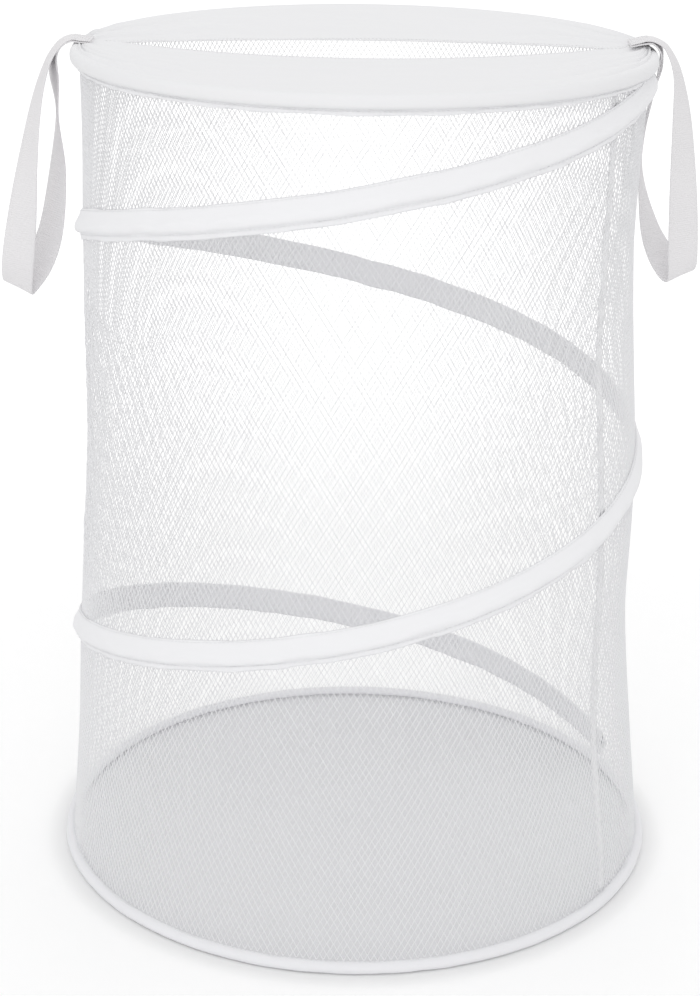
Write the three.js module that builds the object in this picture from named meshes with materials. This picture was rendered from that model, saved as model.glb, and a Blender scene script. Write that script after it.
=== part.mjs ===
// A pop up laundry hamper: a net cylinder that a sprung steel spiral holds open between two
// hoops, with a two-flap fabric top, a fabric floor and two webbing handles.
// Millimetres. +Z is up, -Y is the front, and the slit in the top runs along X.
import * as THREE from "three";

// Overall sizes
const rimRadius = 216; // to the outside of the top hoop's tape
const baseRadius = 233; // to the outside of the base piping
const rimHeight = 628; // to the centre of the top hoop's wire
const clearance = 0.3; // between pieces that are sewn or seated together

// Steel wires, the sleeves that join their ends, and the spiral's end caps
const wireRadius = 1.3;
const wireEndGap = 0.6;
const ferruleWall = 0.3;
const ferruleLength = 20;
const capWall = 0.3;
const capLength = 12;
const capFloor = 1.5;

// Folded tape that cases the hoops and the spiral
const tapeThickness = 0.8;
const casingDepth = 6; // how far a casing stands out from the net
const spiralRise = 13; // from the wire to the tape's upper edge
const hoopRise = 3.6; // from the wire to the top of the hoop's casing
const creaseDrop = 5; // from the wire down to the seam
const flangeDrop = 10.5; // from the wire down to the flange's edge

// Net wall, its upright seam and the floor
const netThickness = 1;
const netStrandWidth = 12; // across a strand between the wall's wide diamond openings
const netLowerBorder = 8; // whole net above the piping
const netUpperBorder = 12; // whole net behind the top hoop's casing
const seamWidth = 8;
const seamThickness = 0.8;
const pipingRadius = 4.25;
const panelThickness = 1.2;

// Top flaps and the lens-shaped slit between them
const flapThickness = 0.8;
const slitHalfLength = 180;
const slitHalfWidth = 45;
const flapSag = 8.7;
const tipLand = 6; // how far the flaps run flat inside the hoop at the ends of the slit
const hemInset = 4; // from a flap's edge to its row of stitches
const hemThreadWidth = 1;
const hemThreadThickness = 0.4;

// Webbing handles
const webbingWidth = 25.4;
const webbingThickness = 1;
const layerGap = 0.4; // between the two webbing ends where they lie together
const tabLength = 27; // the length that is sewn down on the rim
const archRise = 4.5;
const pivotReach = 17; // from the rim's outside to the line that the handle folds on
const pivotRise = 2;
const loopDrop = 192;
const loopStandOff = 18;
const strandSpread = 28;
const stitchHalfSide = 10;
const stitchWidth = 1.1;
const stitchThickness = 0.5;

// Counts
const ringSteps = 48;
const wireSides = 6;
const sleeveSides = 8;
const handleSteps = 48;
const flapRows = 3;
const netHalfRows = 12; // even, so that the strands meet both borders on the same steps

// Places round the hamper as shares of a turn, clockwise from +X as seen from above: the joints
// in the hoops' wires, the net's seam and the spiral's two ends
const topJointShare = 0.76;
const baseJointShare = 0.64;
const netSeamShare = 0.09;
const spiralFirstShare = 0.084;
const spiralLastShare = 1.937;

// The spiral's height at each quarter turn, as shares of the rim's height
const spiralHeightShares = [0.99, 0.889, 0.785, 0.645, 0.521, 0.3965, 0.2755, 0.126, 0.01];

// Outlines of the tape, from the leg against the net, over the wire, to the seam. The first
// number is a share of the casing's depth, the second of its rise or, below the wire, of the
// seam's drop. The flaps wrap over the middle stretch of the top hoop's tape.
const spiralTapeShares = [
  [0, -0.65],
  [0, 1],
  [0.52, 0.62],
  [0.92, 0.22],
  [1, -0.1],
  [0.8, -0.72],
  [0.27, -1],
];
const hoopLegShares = [
  [0, -0.65],
  [0, 0.3],
];
const hoopCoverShares = [
  [0.25, 0.9],
  [0.6, 1],
  [0.95, 0.5],
  [1, -0.1],
];
const hoopSeamShares = [
  [0.8, -0.72],
  [0.27, -1],
];
const flangeFootShare = 0.18;

// Half of a hanging handle from the fold down, as shares of its stand-off, its half spread, its
// drop and a quarter twist
const strandShares = [
  [0.08, 0.07, 0.06, 0.08],
  [0.33, 0.36, 0.18, 0.35],
  [0.67, 0.79, 0.36, 0.8],
  [0.9, 0.97, 0.55, 1],
  [1, 1, 0.76, 1],
  [1, 0.76, 0.92, 1],
  [1, 0.4, 0.985, 1],
];
const loopFootShares = [1, 0, 1, 1];

// The handle tab's arch beyond the rim, as shares of its reach and its rise
const tabArchShares = [
  [0.3, 0.75],
  [0.6, 1],
];

const sleeveSlitShare = 0.03; // half of the open seam in a rolled sleeve, as a share of a turn

const white = 0xf1f1f2;
const greyWhite = 0xe4e4e6;
const steelGrey = 0x9a9da1;

const fullTurn = 2 * Math.PI;
const quarterTurn = Math.PI / 2;
const vector2 = (x, y) => new THREE.Vector2(x, y);

// A point at a number of ring steps clockwise from +X
function around(step, radius, height) {
  const angle = (-fullTurn * step) / ringSteps;
  return new THREE.Vector3(radius * Math.cos(angle), radius * Math.sin(angle), height);
}

// A point on the flat facet between two whole ring steps
function onFacet(placeAtStep, step) {
  const before = Math.floor(step);
  return placeAtStep(before).lerp(placeAtStep(before + 1), step - before);
}

// Radius of the casings' outside at a height
function casingRadius(height) {
  return baseRadius + ((rimRadius - baseRadius) * height) / rimHeight;
}

// Radius of the net's outside at a height
function netRadius(height) {
  return casingRadius(height) - casingDepth - clearance;
}

const ferruleRadius = wireRadius + clearance + ferruleWall;
const wireSeat = casingDepth - tapeThickness - clearance - ferruleRadius;
const pipingCentre = pipingRadius * Math.cos(fullTurn / sleeveSides / 2);
const baseWireSeat = pipingCentre - tapeThickness - clearance - ferruleRadius;
const pipingTop = 2 * pipingCentre;
const netBottom = pipingTop + clearance;
const stepLength = (radius) => 2 * radius * Math.sin(fullTurn / ringSteps / 2);

// The middle of the facet that holds a share of a turn, in ring steps
const facetMiddle = (turnShare) => Math.floor(turnShare * ringSteps) + 1 / 2;

// Height of the spiral's wire at a step
const quarterSteps = ringSteps / 4;
const spiralTable = new THREE.CubicInterpolant(
  spiralHeightShares.map((share, i) => i * quarterSteps),
  spiralHeightShares.map((share) => share * rimHeight),
  1,
);
function spiralHeight(step) {
  return spiralTable.evaluate(step)[0];
}

// A closed solid from points and triangles, turned so that its faces point out
function closedSolid(points, triangles) {
  const volume = triangles.reduce((sum, [a, b, c]) => {
    const face = new THREE.Vector3().crossVectors(points[b], points[c]);
    return sum + points[a].dot(face);
  }, 0);
  const faces = volume < 0 ? triangles.map(([a, b, c]) => [a, c, b]) : triangles;
  const geometry = new THREE.BufferGeometry().setFromPoints(points);
  geometry.setIndex(faces.flat());
  geometry.computeVertexNormals();
  return geometry;
}

// The two triangles of a square of four points
const square = (a, b, c, d) => [
  [a, b, c],
  [a, c, d],
];

// A solid whose outline is carried through stations, either capped at both ends or joined
// round into a loop
function sweptSolid(outline, stations, place, isLoop) {
  const line = THREE.ShapeUtils.isClockWise(outline) ? [...outline].reverse() : outline;
  const sides = line.length;
  const points = stations.flatMap((station) => line.map((point) => place(point, station)));
  const spans = isLoop ? stations.length : stations.length - 1;
  const triangles = [];
  for (let i = 0; i < spans; i++) {
    const near = i * sides;
    const far = ((i + 1) % stations.length) * sides;
    for (let j = 0; j < sides; j++) {
      const next = (j + 1) % sides;
      triangles.push(...square(near + j, near + next, far + next, far + j));
    }
  }
  if (!isLoop) {
    const end = spans * sides;
    for (const [a, b, c] of THREE.ShapeUtils.triangulateShape(line, [])) {
      triangles.push([c, b, a], [end + a, end + b, end + c]);
    }
  }
  return closedSolid(points, triangles);
}

// A solid between the two faces of a sheet, each a grid of points with like rows
function slabSolid(faceRows, backRows) {
  const rows = faceRows.length;
  const columns = faceRows[0].length;
  const points = [...faceRows.flat(), ...backRows.flat()];
  const face = (r, c) => r * columns + c;
  const back = (r, c) => rows * columns + face(r, c);
  const triangles = [];
  for (let r = 0; r < rows - 1; r++) {
    for (let c = 0; c < columns - 1; c++) {
      triangles.push(...square(face(r, c), face(r, c + 1), face(r + 1, c + 1), face(r + 1, c)));
      triangles.push(...square(back(r, c), back(r + 1, c), back(r + 1, c + 1), back(r, c + 1)));
    }
    const last = columns - 1;
    triangles.push(...square(face(r, 0), face(r + 1, 0), back(r + 1, 0), back(r, 0)));
    triangles.push(...square(face(r, last), back(r, last), back(r + 1, last), face(r + 1, last)));
  }
  for (let c = 0; c < columns - 1; c++) {
    const last = rows - 1;
    triangles.push(...square(face(0, c), back(0, c), back(0, c + 1), face(0, c + 1)));
    triangles.push(...square(face(last, c), face(last, c + 1), back(last, c + 1), back(last, c)));
  }
  return closedSolid(points, triangles);
}

// The normal on the right of the way from one point to the next
function rightNormal(from, to) {
  const way = to.clone().sub(from).normalize();
  return vector2(way.y, -way.x);
}

// An open line moved to its right, with mitred corners
function offsetLine(line, distance) {
  return line.map((point, i) => {
    const normals = [];
    if (i > 0) normals.push(rightNormal(line[i - 1], point));
    if (i < line.length - 1) normals.push(rightNormal(point, line[i + 1]));
    const middle = normals.reduce((sum, normal) => sum.add(normal), vector2(0, 0)).normalize();
    return point.clone().addScaledVector(middle, distance / middle.dot(normals[0]));
  });
}

// The outline of a sheet that follows an open line on its right
function sheetOutline(line, thickness) {
  return [...line, ...offsetLine(line, thickness).reverse()];
}

// A regular outline about a centre
function roundOutline(radius, sides, centre) {
  return Array.from({ length: sides }, (_, i) => {
    const angle = (fullTurn * i) / sides;
    return vector2(centre.x + radius * Math.cos(angle), centre.y + radius * Math.sin(angle));
  });
}

// Points of a tape's outer line, about the wire's height
function tapePoints(shares, rise) {
  return shares.map(([out, up]) => vector2(out * casingDepth, up * (up > 0 ? rise : creaseDrop)));
}

// A folded tape's outline, from the net's side over the wire to the flange's foot
function tapeOutline(shares, rise) {
  const foot = vector2(flangeFootShare * casingDepth, -flangeDrop);
  return sheetOutline([...tapePoints(shares, rise), foot], tapeThickness);
}

// Places a casing's outline, drawn about the wire's height, against the net
function placeCasing(point, step, height) {
  const level = height + point.y;
  return around(step, casingRadius(level) - casingDepth + point.x, level);
}

const wholeSteps = (first, last) => Array.from({ length: last - first + 1 }, (_, i) => first + i);
const stepsBetween = (first, last) => [
  first,
  ...wholeSteps(Math.floor(first) + 1, Math.ceil(last) - 1),
  last,
];
const ring = wholeSteps(0, ringSteps - 1);

const placeTopHoop = (point, step) => onFacet((s) => placeCasing(point, s, rimHeight), step);
const placeSpiral = (point, step) => onFacet((s) => placeCasing(point, s, spiralHeight(s)), step);
const placeBaseHoop = (point, step) =>
  onFacet((s) => around(s, baseRadius - pipingRadius + point.x, pipingCentre + point.y), step);

const casedWire = roundOutline(wireRadius, wireSides, vector2(wireSeat, 0));
const baseWire = roundOutline(wireRadius, wireSides, vector2(baseWireSeat, 0));

// A hoop of wire whose ends meet in a joint on one facet
function hoopWire(outline, place, joint, radius) {
  const halfGap = wireEndGap / 2 / stepLength(radius);
  return sweptSolid(outline, stepsBetween(joint + halfGap, joint + ringSteps - halfGap), place, false);
}

// A rolled sleeve round the wire's joint, with its open seam turned inwards
function ferrule(centre, place, joint, radius) {
  const slit = sleeveSlitShare * fullTurn;
  const arc = Array.from({ length: sleeveSides + 1 }, (_, i) => {
    const angle = Math.PI - slit - ((fullTurn - 2 * slit) * i) / sleeveSides;
    return vector2(centre.x + ferruleRadius * Math.cos(angle), centre.y + ferruleRadius * Math.sin(angle));
  });
  const half = ferruleLength / 2 / stepLength(radius);
  return sweptSolid(sheetOutline(arc, ferruleWall), [joint - half, joint + half], place, false);
}

// A closed cap over one end of the spiral's wire
function endCap(endStep, towardsStep) {
  const bore = wireRadius + clearance;
  const outside = bore + capWall;
  const profile = [
    vector2(0, 0),
    vector2(outside, 0),
    vector2(outside, capLength),
    vector2(bore, capLength),
    vector2(bore, capFloor),
    vector2(0, capFloor),
  ];
  const centre = vector2(wireSeat, 0);
  const end = placeSpiral(centre, endStep);
  const way = placeSpiral(centre, towardsStep).sub(end).normalize();
  const geometry = new THREE.LatheGeometry(profile, sleeveSides);
  geometry.applyQuaternion(new THREE.Quaternion().setFromUnitVectors(new THREE.Vector3(0, 1, 0), way));
  const start = end.addScaledVector(way, -capFloor - clearance);
  return geometry.translate(start.x, start.y, start.z);
}

// The thin piping round the base: a tape tube open towards the floor panel
function basePiping() {
  const facet = fullTurn / sleeveSides;
  const arc = Array.from({ length: sleeveSides }, (_, i) => {
    const angle = Math.PI + facet / 2 + facet * i;
    return vector2(pipingRadius * Math.cos(angle), pipingRadius * Math.sin(angle));
  });
  return sweptSolid(sheetOutline(arc, -tapeThickness), ring, placeBaseHoop, true);
}

// The floor: a fabric disc whose upper edge meets the piping's curve
function floorPanel() {
  const inset = Math.sqrt((pipingRadius + clearance) ** 2 - (pipingCentre - panelThickness) ** 2);
  const radius = baseRadius - pipingRadius - inset;
  const geometry = new THREE.CylinderGeometry(radius, radius, panelThickness, ringSteps);
  geometry.rotateX(quarterTurn);
  return geometry.translate(0, 0, panelThickness / 2);
}

// A round wall with openings, from polygons of [step, height] corners that share their edges. Each
// free edge is closed through the wall's thickness.
function openWall(polygons, outsideRadius, thickness) {
  const corners = new Map();
  const number = ([step, height]) => {
    const key = `${(step % ringSteps).toFixed(3)} ${height.toFixed(3)}`;
    if (!corners.has(key)) corners.set(key, { number: corners.size, step, height });
    return corners.get(key).number;
  };
  const faces = polygons.map((polygon) => polygon.map(number));
  const place = (inset) =>
    [...corners.values()].map(({ step, height }) =>
      onFacet((s) => around(s, outsideRadius(height) - inset, height), step),
    );
  const inner = corners.size;
  const triangles = [];
  const ways = new Map();
  for (const face of faces) {
    for (let i = 2; i < face.length; i++) {
      const [a, b, c] = [face[0], face[i - 1], face[i]];
      triangles.push([a, b, c], [inner + a, inner + c, inner + b]);
    }
    face.forEach((from, i) => {
      const to = face[(i + 1) % face.length];
      ways.set(`${from} ${to}`, [from, to]);
    });
  }
  for (const [from, to] of ways.values()) {
    if (!ways.has(`${to} ${from}`)) triangles.push(...square(to, from, inner + from, inner + to));
  }
  return closedSolid([...place(0), ...place(thickness)], triangles);
}

// The net wall, from the piping up to the hoop's wire: crossed strands with a diamond opening
// over every two facets, which stand for the net's fine cells
function netWall() {
  const low = netBottom + netLowerBorder;
  const high = rimHeight - netUpperBorder;
  const rise = (high - low) / netHalfRows;
  const run = stepLength(netRadius((low + high) / 2));
  const cut = (netStrandWidth * Math.hypot(run, rise)) / (2 * run * rise);
  const level = (row) => low + row * rise;
  const polygons = ring.flatMap((step) => {
    const next = step + 1;
    const nearNode = step % 2 === 0 ? step + cut : next - cut;
    const lower = [[step, netBottom], [next, netBottom], [next, low], [nearNode, low], [step, low]];
    const upper = [[step, rimHeight], [step, high], [nearNode, high], [next, high], [next, rimHeight]];
    const strands = wholeSteps(0, netHalfRows - 1).map((row) => {
      const [below, above] = [level(row), level(row + 1)];
      const [lowCut, highCut] = [level(row + cut), level(row + 1 - cut)];
      return (step + row) % 2 === 0
        ? [[step, below], [step + cut, below], [next, highCut], [next, above], [next - cut, above], [step, lowCut]]
        : [[next, below], [next, lowCut], [step + cut, above], [step, above], [step, highCut], [next - cut, below]];
    });
    return [lower, upper, ...strands];
  });
  return openWall(polygons, netRadius, netThickness);
}

// The seam that closes the net, upright on the inside of one facet
function netSeam() {
  const half = seamWidth / 2;
  const outline = [
    vector2(-half, 0),
    vector2(half, 0),
    vector2(half, seamThickness),
    vector2(-half, seamThickness),
  ];
  const place = (point, height) => {
    const inside = netRadius(height) - netThickness;
    const middle = onFacet((s) => around(s, inside, height), facetMiddle(netSeamShare));
    const outwards = vector2(middle.x, middle.y).normalize();
    const inset = clearance + point.y;
    middle.x -= outwards.x * inset + outwards.y * point.x;
    middle.y -= outwards.y * inset - outwards.x * point.x;
    return middle;
  };
  return sweptSolid(outline, [netBottom, rimHeight], place, false);
}

// Half width of the slit at a distance along it, with a slim gap where the flaps meet
function slitEdge(along) {
  const lens = slitHalfWidth * Math.max(0, 1 - (along / slitHalfLength) ** 2);
  return clearance / 2 + lens;
}

// The faces of a flap as grids of points: rows run from the slit over the hoop to its seam.
// side is 1 for the front flap and -1 for the back one.
function flapFaces(side) {
  const cover = tapePoints(hoopCoverShares, hoopRise);
  const innerLine = offsetLine(cover, -clearance);
  const outerLine = offsetLine(cover, -clearance - flapThickness);
  const tipStep = (Math.asin(clearance / 2 / rimRadius) / fullTurn) * ringSteps;
  const halfRing = ringSteps / 2;
  const columns = [tipStep, ...wholeSteps(1, halfRing - 1), halfRing - tipStep];
  const top = rimHeight + innerLine[0].y;
  const crown = casingRadius(top) - casingDepth + innerLine[0].x;
  const flatPoint = (step, row, lift) => {
    const rim = around(side * step, crown, 0);
    const along = ((crown - tipLand) * rim.x) / crown;
    const hem = new THREE.Vector3(along, -side * slitEdge(along), 0);
    const share = row / flapRows;
    const point = hem.lerp(rim, share);
    const slack = flapSag * Math.max(0, 1 - (along / slitHalfLength) ** 2) * (1 - share) ** 2;
    return point.setZ(top + lift - slack);
  };
  const grid = (line, lift) => [
    ...wholeSteps(0, flapRows - 1).map((row) => columns.map((step) => flatPoint(step, row, lift))),
    ...line.map((point) => columns.map((step) => placeCasing(point, side * step, rimHeight))),
  ];
  return { inner: grid(innerLine, 0), outer: grid(outerLine, outerLine[0].y - innerLine[0].y) };
}

function flap(side) {
  const { inner, outer } = flapFaces(side);
  return slabSolid(outer, inner);
}

// The row of stitches along a flap's edge, laid on its upper face
function hemStitching(side) {
  const [edge, next] = flapFaces(side).outer;
  const stations = edge.map((point, i) => ({ point, way: next[i].clone().sub(point) }));
  const inLens = stations.filter(({ point }) => Math.abs(point.x) < slitHalfLength);
  const outline = [
    vector2(hemInset, clearance),
    vector2(hemInset + hemThreadWidth, clearance),
    vector2(hemInset + hemThreadWidth, clearance + hemThreadThickness),
    vector2(hemInset, clearance + hemThreadThickness),
  ];
  const place = (point, station) => {
    const start = station.point.clone().addScaledVector(station.way, point.x / station.way.length());
    return start.setZ(start.z + point.y);
  };
  return sweptSolid(outline, inLens, place, false);
}

const flapTop = rimHeight + hoopRise + clearance + flapThickness;
const tabThickness = 2 * webbingThickness + layerGap;
const tabCentre = flapTop + clearance + tabThickness / 2;
const pivotRadius = Math.hypot(tabThickness / 2, clearance);
const pivot = { out: rimRadius + pivotReach, height: tabCentre + pivotRise };

// Webbing of a thickness through frames of a centre, a way along and a way across
function webbing(frames, thickness, side) {
  const row = ({ centre, along, across }, lift) => {
    const flat = across.clone().addScaledVector(along, -across.dot(along)).normalize();
    const face = new THREE.Vector3().crossVectors(along, flat);
    return [-webbingWidth / 2, 0, webbingWidth / 2].map((reach) => {
      const placed = centre.clone().addScaledVector(flat, reach).addScaledVector(face, lift);
      return placed.setX(side * placed.x);
    });
  };
  const faceRows = frames.map((frame) => row(frame, thickness / 2));
  const backRows = frames.map((frame) => row(frame, -thickness / 2));
  return slabSolid(faceRows, backRows);
}

// The two webbing ends sewn on the rim, and their arch out to the fold. side is 1 at +X.
function handleTab(side) {
  const sewnStart = rimRadius - tabLength;
  const reach = pivotReach - pivotRadius - clearance;
  const path = [
    new THREE.Vector3(sewnStart, 0, tabCentre),
    new THREE.Vector3(sewnStart + tabLength / 2, 0, tabCentre),
    new THREE.Vector3(rimRadius, 0, tabCentre),
    ...tabArchShares.map(
      ([out, up]) => new THREE.Vector3(rimRadius + out * reach, 0, tabCentre + up * archRise),
    ),
    new THREE.Vector3(rimRadius + reach, 0, pivot.height),
  ];
  const across = new THREE.Vector3(0, 1, 0);
  const frames = path.map((centre, i) => {
    const before = path[Math.max(i - 1, 0)];
    const after = path[Math.min(i + 1, path.length - 1)];
    const isEnd = i === 0 || i === path.length - 1;
    const along = isEnd ? new THREE.Vector3(1, 0, 0) : after.clone().sub(before).normalize();
    return { centre, along, across };
  });
  return webbing(frames, tabThickness, side);
}

// The hanging loop of webbing, from one end at the fold round to the other
function handleStrap(side) {
  const layer = (webbingThickness + layerGap) / 2;
  const strandPoint = (strand, [out, spread, drop, twist]) => ({
    centre: new THREE.Vector3(
      pivot.out + out * loopStandOff + strand * layer * (1 - drop),
      -strand * spread * strandSpread,
      pivot.height - drop * loopDrop,
    ),
    twist: twist * quarterTurn,
  });
  const startShares = [0, 0, clearance / loopDrop, 0];
  const down = [startShares, ...strandShares].map((row) => strandPoint(1, row));
  const up = [startShares, ...strandShares].map((row) => strandPoint(-1, row)).reverse();
  const knots = [...down, strandPoint(0, loopFootShares), ...up];
  const route = new THREE.CatmullRomCurve3(knots.map((knot) => knot.centre), false, "centripetal");
  const frames = wholeSteps(0, handleSteps).map((i) => {
    const share = i / handleSteps;
    const position = share * (knots.length - 1);
    const before = Math.min(Math.floor(position), knots.length - 2);
    const twist = THREE.MathUtils.lerp(knots[before].twist, knots[before + 1].twist, position - before);
    const isEnd = i === 0 || i === handleSteps;
    const along = isEnd ? new THREE.Vector3(0, 0, i === 0 ? -1 : 1) : route.getTangent(share);
    const across = new THREE.Vector3(Math.sin(twist), Math.cos(twist), 0);
    return { centre: route.getPoint(share), along, across };
  });
  return webbing(frames, webbingThickness, side);
}

// A sewn square with its two diagonals, as one piece of thread work on the tab
function tabStitching(side) {
  const corner = stitchHalfSide;
  const outline = new THREE.Shape([
    vector2(-corner, -corner),
    vector2(corner, -corner),
    vector2(corner, corner),
    vector2(-corner, corner),
  ]);
  const inner = stitchHalfSide - stitchWidth;
  const apex = stitchWidth / Math.SQRT2;
  const window = [vector2(apex, 0), vector2(inner, apex - inner), vector2(inner, inner - apex)];
  for (const turn of wholeSteps(0, 3)) {
    const turned = window.map((point) => point.clone().rotateAround(vector2(0, 0), turn * quarterTurn));
    outline.holes.push(new THREE.Path(turned));
  }
  const geometry = new THREE.ExtrudeGeometry(outline, { depth: stitchThickness, bevelEnabled: false });
  const middle = rimRadius - tabLength / 2;
  return geometry.translate(side * middle, 0, tabCentre + tabThickness / 2 + clearance);
}

const spiralFirst = spiralFirstShare * ringSteps;
const spiralLast = spiralLastShare * ringSteps;
const spiralSteps = stepsBetween(spiralFirst, spiralLast);

// The least gap between turns of the spiral, measured on points of its wire
function leastTurnGap() {
  const points = spiralSteps.map((step) => placeSpiral(vector2(wireSeat, 0), step));
  let least = Infinity;
  for (let i = 0; i < points.length; i++) {
    for (let j = i + ringSteps / 2; j < points.length; j++) {
      least = Math.min(least, points[i].distanceTo(points[j]));
    }
  }
  return least;
}

const spiralSpacing = leastTurnGap();
const wireGap = spiralSpacing - 2 * wireRadius;
const tapeGap = spiralSpacing - spiralRise - flangeDrop;
console.log(`least gap between turns: wire ${wireGap.toFixed(1)} mm, tape ${tapeGap.toFixed(1)} mm`);

const wireInset = capFloor + 2 * clearance; // how far the wire stops short of its casing's ends
const wireStart = spiralFirst + wireInset / stepLength(rimRadius);
const wireEnd = spiralLast - wireInset / stepLength(baseRadius);
const capReach = capLength / stepLength(baseRadius);

const hamper = new THREE.Group();

function add(name, geometry, color, roughness, metalness) {
  const mesh = new THREE.Mesh(geometry, new THREE.MeshStandardMaterial({ color, roughness, metalness }));
  mesh.name = name;
  hamper.add(mesh);
}

const fabric = (name, geometry, color) => add(name, geometry, color, 0.8, 0);
const steel = (name, geometry) => add(name, geometry, steelGrey, 0.35, 0.9);

const hoopTape = tapeOutline([...hoopLegShares, ...hoopCoverShares, ...hoopSeamShares], hoopRise);
const spiralTape = tapeOutline(spiralTapeShares, spiralRise);
const topJoint = facetMiddle(topJointShare);
const baseJoint = facetMiddle(baseJointShare);

fabric("base_panel", floorPanel(), greyWhite);
fabric("base_hoop_casing", basePiping(), white);
steel("base_hoop_wire", hoopWire(baseWire, placeBaseHoop, baseJoint, baseRadius));
steel("base_hoop_ferrule", ferrule(vector2(baseWireSeat, 0), placeBaseHoop, baseJoint, baseRadius));
fabric("mesh_wall", netWall(), white);
fabric("mesh_side_seam", netSeam(), white);
steel("spiral_wire", sweptSolid(casedWire, stepsBetween(wireStart, wireEnd), placeSpiral, false));
fabric("spiral_casing", sweptSolid(spiralTape, spiralSteps, placeSpiral, false), white);
steel("spiral_upper_end_cap", endCap(wireStart, wireStart + capReach));
steel("spiral_lower_end_cap", endCap(wireEnd, wireEnd - capReach));
steel("top_hoop_wire", hoopWire(casedWire, placeTopHoop, topJoint, rimRadius));
steel("top_hoop_ferrule", ferrule(vector2(wireSeat, 0), placeTopHoop, topJoint, rimRadius));
fabric("top_hoop_casing", sweptSolid(hoopTape, ring, placeTopHoop, true), white);
for (const [place, side] of [["front", 1], ["back", -1]]) {
  fabric(`${place}_top_flap`, flap(side), white);
  fabric(`${place}_hem_stitching`, hemStitching(side), white);
}
for (const [place, side] of [["left", -1], ["right", 1]]) {
  fabric(`${place}_handle_tab`, handleTab(side), greyWhite);
  fabric(`${place}_handle_strap`, handleStrap(side), greyWhite);
  fabric(`${place}_handle_stitching`, tabStitching(side), white);
}

export default hamper;
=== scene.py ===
"""The looks of a pop up laundry hamper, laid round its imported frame.

Metres. +Z is up and -Y is the front. A turn is counted clockwise from +X as seen from above.
"""

import math

import bpy
import numpy as np
from bpy.props import FloatProperty, FloatVectorProperty, IntProperty, PointerProperty
from mathutils import Matrix, Vector


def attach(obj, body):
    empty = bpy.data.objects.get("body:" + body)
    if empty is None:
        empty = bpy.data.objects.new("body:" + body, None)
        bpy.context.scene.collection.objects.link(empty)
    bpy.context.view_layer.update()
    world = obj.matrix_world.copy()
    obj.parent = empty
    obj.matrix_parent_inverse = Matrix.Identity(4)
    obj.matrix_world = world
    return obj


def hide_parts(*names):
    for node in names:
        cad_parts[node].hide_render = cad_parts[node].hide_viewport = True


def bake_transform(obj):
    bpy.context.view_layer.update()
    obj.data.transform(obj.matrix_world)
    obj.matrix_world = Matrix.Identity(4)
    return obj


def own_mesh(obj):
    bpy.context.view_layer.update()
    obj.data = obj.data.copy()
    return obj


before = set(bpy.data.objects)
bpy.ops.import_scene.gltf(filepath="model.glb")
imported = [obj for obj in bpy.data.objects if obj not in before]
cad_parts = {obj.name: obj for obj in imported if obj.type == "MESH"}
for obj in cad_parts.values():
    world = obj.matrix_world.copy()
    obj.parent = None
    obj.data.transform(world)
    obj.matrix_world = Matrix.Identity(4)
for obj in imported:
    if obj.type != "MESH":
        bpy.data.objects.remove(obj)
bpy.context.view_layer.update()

bl_info = {
    "name": "Pop Up Laundry Hamper",
    "version": (1, 0, 0),
    "blender": (4, 5, 0),
    "location": "3D View > Sidebar > Hamper",
    "description": "Builds a net laundry hamper with a sprung spiral, two top flaps and handles",
    "category": "Add Mesh",
}

MM = 0.001
FULL_TURN = 2 * math.pi

# How far the rim comes down as the hamper folds flat
COLLAPSE_TRAVEL = 0.56

# The camera. Its focal length and the middle of its lens are in pixels of a frame of this size
FRAME_WIDE = 700
FRAME_TALL = 996
FOCAL_LENGTH = 2188
LENS_X = 361.4
LENS_Y = 298
SENSOR = 36
CAMERA_PLACE = (0, -1.6155, 0.8713)
CAMERA_DOWN = 15.0
CAMERA_ROLL = 0.74

# Lamps as (name, place, size, power)
LAMPS = [
    ("front_softbox", (-0.5, -3.4, 1.9), 3.2, 23),
    ("top_softbox", (0.3, 0.6, 3.0), 2.6, 2),
    ("back_softbox", (0.2, 3.0, 2.2), 2.2, 10),
]
LAMP_AIM = (0, 0, 0.3)
WORLD_FILL = 0.88
# How the studio floor whitens for the camera, as (from this radius, to this radius, gain). It
# starts beyond the base, so that the contact shadow shows
FLOOR_GLOW = [(0.233, 0.255, 0.13), (0.5, 1.6, 0.19)]

# The spiral's height at each quarter turn, as shares of the rim's height
SPIRAL_HEIGHT_SHARES = np.array([0.99, 0.889, 0.785, 0.645, 0.521, 0.3965, 0.2755, 0.126, 0.01])
# The turns at which its wire starts and ends
SPIRAL_FIRST = 0.084
SPIRAL_LAST = 1.937
# The spiral's tape runs on past the wire's upper end, where it swells and is tucked in under
# the hoop's flange
SPIRAL_TUCKED = -0.03
TUCKED_HEIGHT = 0.611
# The turn at which the net is closed
NET_SEAM = 0.09375
# The threads are set apart at their knots by a share of a turn at about this radius
MEAN_NET_RADIUS = 0.22

# Outlines in millimetres as (out from the net, up from the wire), from the inner leg's foot
# over the wire to the outer leg's foot
SPIRAL_TAPE = [
    (0.1, -10.2), (0, -7), (0, -3.2), (0, 4), (0, 10.6), (0.1, 12.2), (0.62, 13), (1.15, 12.3),
    (1.5, 11), (2.5, 8.6), (3.8, 5.9), (5.1, 3.4), (5.85, 1.2), (6, -0.8), (5.5, -3),
    (4.3, -4.5), (2.7, -5.1), (1.75, -5.4), (1.6, -6.2), (1.4, -8), (1.1, -10.5),
]
HOOP_TAPE = [
    (0.1, -10.2), (0, -7), (0, -3.2), (0, -0.8), (0.1, 1.2), (1.4, 3.2), (3.6, 3.6), (5.4, 2.3),
    (6, -0.5), (5.8, -3), (4.8, -4.6), (2.4, -5.1), (1.6, -5.4), (1.45, -6.4), (1.3, -8),
    (1.1, -10.5),
]
FLAP_WRAP = [
    (1.2, 4.35), (3.4, 4.6), (5.6, 3.6), (6.9, 1.4), (7.15, -1.2), (6.9, -3.4), (5.9, -5),
    (4.2, -5.8), (2.4, -6.1),
]
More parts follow.
